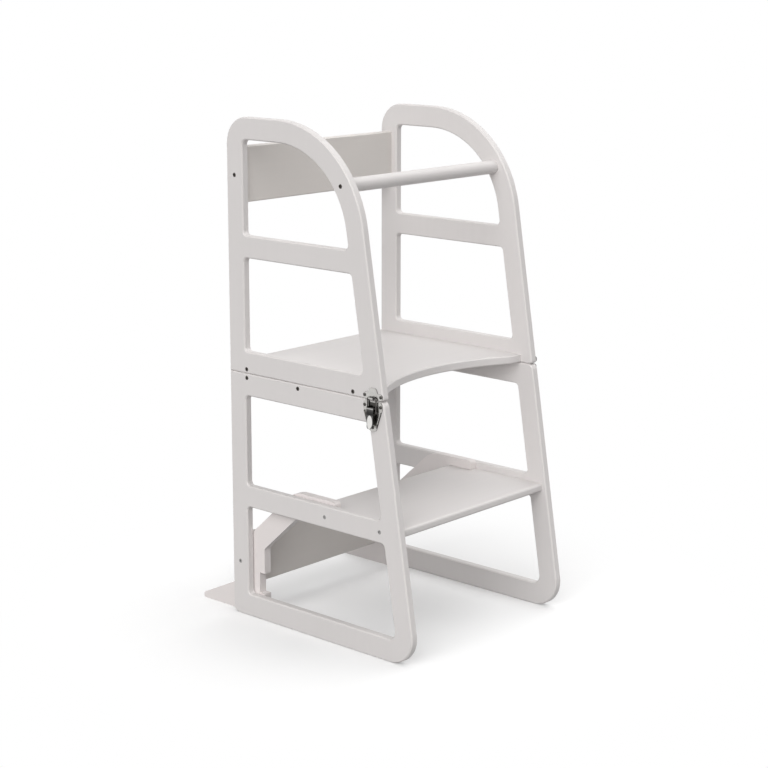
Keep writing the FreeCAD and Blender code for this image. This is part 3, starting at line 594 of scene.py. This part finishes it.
def round_pin(node, axis, radius, end_radius, end_length):
    """A pin with rounded ends, where the CAD's pin of that name is."""
    ((low, high),) = solid_boxes(node)
    half = (high[axis] - low[axis]) / 2
    ahead = Vector((0, 0, 0))
    ahead[axis] = 1
    rings = [
        (-half, circle(end_radius)),
        (-half + end_length, circle(radius)),
        (half - end_length, circle(radius)),
        (half, circle(end_radius)),
    ]
    pin = bmesh.new()
    turned(pin, (low + high) / 2, ahead, rings)
    return pin


# Its edge colour is a painted dark reflection on faces turned sideways.
zinc = metal(
    "zinc_plate",
    colour=(0.60, 0.61, 0.62),
    rough=0.28,
    rough_change=0.20,
    speckle=600.0,
    edge=(0.34, 0.34, 0.34),
    edge_axis=back,
)
for side in ("left", "right"):
    finish_with(zinc, "hinge_leaf_upper_" + side, "hinge_leaf_lower_" + side)
    node = "hinge_pin_" + side
    pin = round_pin(node, across, hinge_pin_radius, hinge_pin_end, hinge_pin_bevel)
    name = "hinge_pin_turned_" + side
    in_place_of(name, pin, (zinc,), "lower_unit", node)

for unit in ("upper", "lower"):
    name = "hinge_screws_" + unit
    screws = bmesh.new()
    for low, high in solid_boxes(name):
        end, out = outer_end(low, high, back, 1)
        length = high.y - low.y
        rings = [
            (-length, circle(small_tip)),
            (-length + small_point, circle(small_shank)),
            (-leaf_sink, circle(small_shank)),
            *((along, circle(radius)) for along, radius in leaf_head),
            (leaf_head_top, hexagon(leaf_socket)),
            (-leaf_socket_depth, hexagon(leaf_socket_floor)),
        ]
        turned(screws, end, out, rings)
    in_place_of(name + "_turned", screws, (zinc,), unit + "_unit", name)


# ---- Toggle latches ----
# A pressed and plated latch on each side: a base with ears and painted shade in a well under
# the lever, a lever with painted dark and bright reflection bands and a painted highlight in
# an oval at its thumb end, and a catch with a hook on the upper unit. Sheared edges and sides
# carry a painted dark reflection.

joint_place = {joint["child"]: joint["pos_m"] for joint in frame["joints"]}
latch_middle = joint_place["lever_left"][back]
latch_rough = 0.14
latch_rough_change = 0.18
latch_speckle = 500.0
# Painted dark reflection on sideways faces, and painted shade in the well under the lever.
painted_dark_reflection_and_shade = (0.07, 0.067, 0.062)
well_half_width = 0.0092
well_low = 0.4085
well_high = 0.4478
lever_low = 0.403
lever_high = 0.443
# Painted reflections: height up the lever and brightness, in bands.
lever_reflection_bands = (
    (0.0, 0.42),
    (0.05, 0.16),
    (0.56, 0.12),
    (0.62, 0.03),
    (0.74, 0.05),
    (0.83, 0.10),
    (0.87, 0.50),
    (0.93, 0.09),
)
reflection_warmth = (1.0, 0.985, 0.96)
thumb_level = 0.4150
thumb_half_width = 0.0056
thumb_half_height = 0.0112
oval_outside = 1.12
oval_inside = 0.92
# The painted highlight in the oval at the thumb end.
thumb_highlight = (0.76, 0.75, 0.73)
# The painted dark reflection on the lever's sides.
lever_side_reflection = (0.06, 0.058, 0.055)
lever_rough = 0.12
lever_rough_change = 0.16
lever_relief = 0.08


def off_square(tree, value, middle, half):
    """How far a value is from the middle, one at half its width, squared."""
    off = sums(tree, "DIVIDE", sums(tree, "SUBTRACT", value, middle), half)
    return sums(tree, "POWER", off, 2.0)


def lever_steel():
    """Steel painted with dark and bright reflection bands up the closed lever, a painted highlight
    in an oval at its thumb end and a painted dark reflection on its sides.
    """
    material = bpy.data.materials.new("lever_steel")
    tree, output = shader_tree(material)
    place = tree.nodes.new("ShaderNodeTexCoord")
    fine = noise(tree, place.outputs["Object"], latch_speckle, fine_detail)
    parts = linked(tree, "ShaderNodeSeparateXYZ", Vector=place.outputs["Object"])
    facing = linked(tree, "ShaderNodeSeparateXYZ", Vector=place.outputs["Normal"])

    # Painted reflections: dark and bright bands by height up the closed lever.
    level = fade(tree, parts.outputs[up], lever_low, lever_high)
    reflection_ramp = linked(tree, "ShaderNodeValToRGB", i0=level)
    stops = reflection_ramp.color_ramp.elements
    while len(stops) < len(lever_reflection_bands):
        stops.new(0.5)
    for stop, (height, tone) in zip(stops, lever_reflection_bands):
        stop.position = height
        stop.color = (*(tone * part for part in reflection_warmth), 1)

    # A painted highlight: a bright oval at the thumb end.
    off_middle = off_square(tree, parts.outputs[back], latch_middle, thumb_half_width)
    off_level = off_square(tree, parts.outputs[up], thumb_level, thumb_half_height)
    reach = sums(tree, "ADD", off_middle, off_level)
    highlight_oval = fade(tree, reach, oval_outside, oval_inside)
    # Faces turned sideways get a painted dark reflection.
    side = fade(tree, sums(tree, "ABSOLUTE", facing.outputs[across]), face_until, edge_from)
    body_tone = mixed(tree, highlight_oval, reflection_ramp.outputs[0], (*thumb_highlight, 1))
    colour = mixed(tree, side, body_tone, (*lever_side_reflection, 1))
    gloss = sums(tree, "ADD", sums(tree, "MULTIPLY", fine, lever_rough_change), lever_rough)
    coat(tree, output, colour, gloss, fine, lever_relief, plating_depth, Metallic=1.0)
    return material


# Both plates carry a painted dark reflection on their sideways faces; the base also has painted
# shade under the lever.
nickel = metal(
    "nickel_plate",
    colour=(0.56, 0.55, 0.53),
    rough=latch_rough,
    rough_change=latch_rough_change,
    speckle=latch_speckle,
    edge=painted_dark_reflection_and_shade,
)
base_nickel = metal(
    "base_nickel",
    colour=(0.52, 0.51, 0.49),
    rough=latch_rough,
    rough_change=latch_rough_change,
    speckle=latch_speckle,
    edge=painted_dark_reflection_and_shade,
    shade_well=(latch_middle, well_half_width, well_low, well_high),
)
lever_finish = lever_steel()
for side in ("left", "right"):
    finish_with(nickel, "latch_catch_" + side)
    finish_with(base_nickel, "latch_base_" + side)
    finish_with(lever_finish, "latch_lever_" + side)


# ---- Pins and screws of the latches ----
# Riveted pins with rounded ends, and pan head screws with a cross recess, of steel that
# has gone dark.

lever_pin_radius = 0.00135
bail_pin_radius = 0.00115
pin_end_round = 0.0004
pan_height = 0.0016
pan_radius = 0.0029
pan_dome = ((-0.0011, 0.0029), (-0.0005, 0.0025), (-0.0001, 0.0019))
cross_reach = 0.0015
cross_half_width = 0.00045
cross_floor_reach = 0.0012
cross_floor_half_width = 0.00035
cross_depth = 0.0010
least_slope = 1e-6


def crossed(reach, half_width):
    """The outline of a cross recess."""
    def outline(turn):
        near, far = sorted((abs(math.cos(turn)), abs(math.sin(turn))))
        return min(reach / far, half_width / max(near, least_slope))
    return outline


dark_steel = metal(
    "dark_steel",
    colour=(0.085, 0.08, 0.076),
    rough=0.22,
    rough_change=0.20,
    speckle=700.0,
)
for part, side, body, radius in (
    ("lever", "left", "lower_unit", lever_pin_radius),
    ("lever", "right", "lower_unit", lever_pin_radius),
    ("bail", "left", "bail_pin_left", bail_pin_radius),
    ("bail", "right", "bail_pin_right", bail_pin_radius),
):
    node = "latch_%s_pin_%s" % (part, side)
    pin = round_pin(node, back, radius, radius - pin_end_round, pin_end_round)
    name = "latch_%s_pin_turned_%s" % (part, side)
    in_place_of(name, pin, (dark_steel,), body, node)

for unit in ("upper", "lower"):
    name = "latch_screws_" + unit
    screws = bmesh.new()
    for low, high in solid_boxes(name):
        end, out = outer_end(low, high, across, 1 if low.x > 0 else -1)
        length = high.x - low.x
        rings = [
            (-length, circle(small_tip)),
            (-length + small_point, circle(small_shank)),
            (-pan_height, circle(small_shank)),
            (-pan_height, circle(pan_radius)),
            *((along, circle(radius)) for along, radius in pan_dome),
            (0.0, crossed(cross_reach, cross_half_width)),
            (-cross_depth, crossed(cross_floor_reach, cross_floor_half_width)),
        ]
        turned(screws, end, out, rings)
    turned_screws = in_place_of(name + "_turned", screws, (dark_steel,), unit + "_unit", name)


# ---- Wire bails ----
# A round wire loop on each lever, bent at two corners, that hooks over the catch. Each
# end is wound into an eye on the bail pin.

wire_radius = 0.00125
wire_steps = 12
bend_steps = 6
quarter_turn = math.pi / 2
bail_half = 0.00925
bail_bend = 0.003
eye_radius = 0.0023
eye_bore = 0.00125
eye_round = 0.0004
bar_inward = 0.0007
bar_above = 0.02425


def wire(mesh, path, flat_normal):
    """A round wire along a path that lies in one plane."""
    loops = []
    for place, point in enumerate(path):
        before, after = path[max(place - 1, 0)], path[min(place + 1, len(path) - 1)]
        square = flat_normal.cross((after - before).normalized())
        loop = []
        for step in range(wire_steps):
            turn = 2 * math.pi * step / wire_steps
            outward = square * math.cos(turn) + flat_normal * math.sin(turn)
            loop.append(mesh.verts.new(point + outward * wire_radius))
        loops.append(loop)
    mesh.faces.new(reversed(loops[0]))
    mesh.faces.new(loops[-1])
    for here, there in zip(loops, loops[1:]):
        for step in range(wire_steps):
            after = (step + 1) % wire_steps
            mesh.faces.new((here[step], here[after], there[after], there[step]))


def wound_eye(mesh, middle, half_width):
    """A short ring of wire round the bail pin."""
    profile = [
        (-half_width + eye_round, eye_bore),
        (-half_width, eye_bore + eye_round),
        (-half_width, eye_radius - eye_round),
        (-half_width + eye_round, eye_radius),
        (half_width - eye_round, eye_radius),
        (half_width, eye_radius - eye_round),
        (half_width, eye_bore + eye_round),
        (half_width - eye_round, eye_bore),
    ]
    loops = []
    for along, radius in profile:
        loop = []
        for step in range(turn_steps):
            turn = 2 * math.pi * step / turn_steps
            outward = Vector((math.cos(turn) * radius, along, math.sin(turn) * radius))
            loop.append(mesh.verts.new(middle + outward))
        loops.append(loop)
    for here, there in zip(loops, loops[1:] + loops[:1]):
        for step in range(turn_steps):
            after = (step + 1) % turn_steps
            mesh.faces.new((here[step], there[step], there[after], here[after]))


for side, sign in (("left", -1), ("right", 1)):
    pivot_across, pivot_back, pivot_up = joint_place["bail_" + side]
    pivot = Vector((pivot_across, pivot_back, pivot_up))
    bar = Vector((pivot_across - sign * bar_inward, pivot_back, pivot_up + bar_above))
    rise = (bar - pivot).normalized()
    width = Vector((0, 1, 0))
    arm_start = pivot + rise * (eye_radius - wire_radius)
    corner = bar - rise * bail_bend
    path = [arm_start - width * bail_half]
    for end in (-1, 1):
        bend_middle = corner + width * (end * (bail_half - bail_bend))
        for step in range(bend_steps + 1):
            turn = quarter_turn * step / bend_steps
            turn = turn if end < 0 else quarter_turn - turn
            reach = width * (end * math.cos(turn)) + rise * math.sin(turn)
            path.append(bend_middle + reach * bail_bend)
    path.append(arm_start + width * bail_half)
    bail = bmesh.new()
    wire(bail, path, width.cross(rise).normalized())
    for end in (-1, 1):
        wound_eye(bail, pivot + width * (end * bail_half), wire_radius)
    name = "latch_bail_wire_" + side
    node = "latch_bail_" + side
    in_place_of(name, bail, (dark_steel,), "bail_" + side, node)


low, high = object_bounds()
